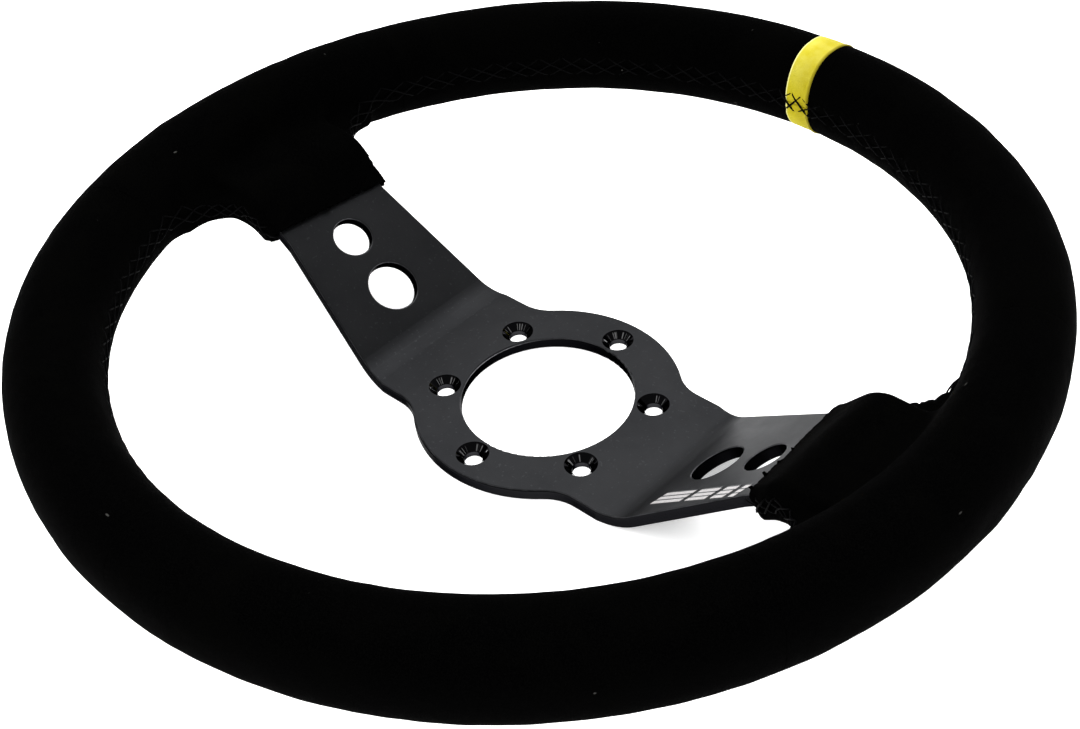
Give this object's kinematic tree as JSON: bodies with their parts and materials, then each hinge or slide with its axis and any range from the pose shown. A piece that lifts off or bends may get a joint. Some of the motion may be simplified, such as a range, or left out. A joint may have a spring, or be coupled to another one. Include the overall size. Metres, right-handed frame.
{
  "type": "steering wheel",
  "caption": "Dished two-spoke competition steering wheel: bent sheet spoke plate with a round hub flange, padded rim with suede cover, laced seam and a yellow centre band.",
  "frame": {"origin": "centre of the hub plate's back face, on the wheel's axis", "axes": "+Z along the wheel's axis towards the driver, +Y to 12 o'clock, +X to 3 o'clock"},
  "size_m": [0.32, 0.32, 0.065],
  "materials": {
    "plate_coat": "satin",
    "mark_print": "satin",
    "core_steel": "satin",
    "rivet_metal": "satin",
    "grip_foam": "matte",
    "suede": "matte",
    "band_leather": "satin",
    "thread": "satin"
  },
  "bodies": {
    "root": {"spoke_plate": "plate_coat", "spoke_mark": "mark_print", "core_ring": "core_steel", "core_joint_sleeve": "core_steel", "anchor_lug_left": "core_steel", "anchor_lug_right": "core_steel", "rivets_left": "rivet_metal", "rivets_right": "rivet_metal", "grip_foam": "grip_foam", "centre_band": "band_leather", "suede_upper_right": "suede", "thread_upper_right": "thread", "suede_upper_left": "suede", "thread_upper_left": "thread", "suede_lower_left": "suede", "thread_lower_left": "thread", "suede_lower_right": "suede", "thread_lower_right": "thread", "suede_boot_right": "suede", "thread_boot_right": "thread", "suede_boot_left": "suede", "thread_boot_left": "thread", "thread_band": "thread"}
  },
  "joints": []
}
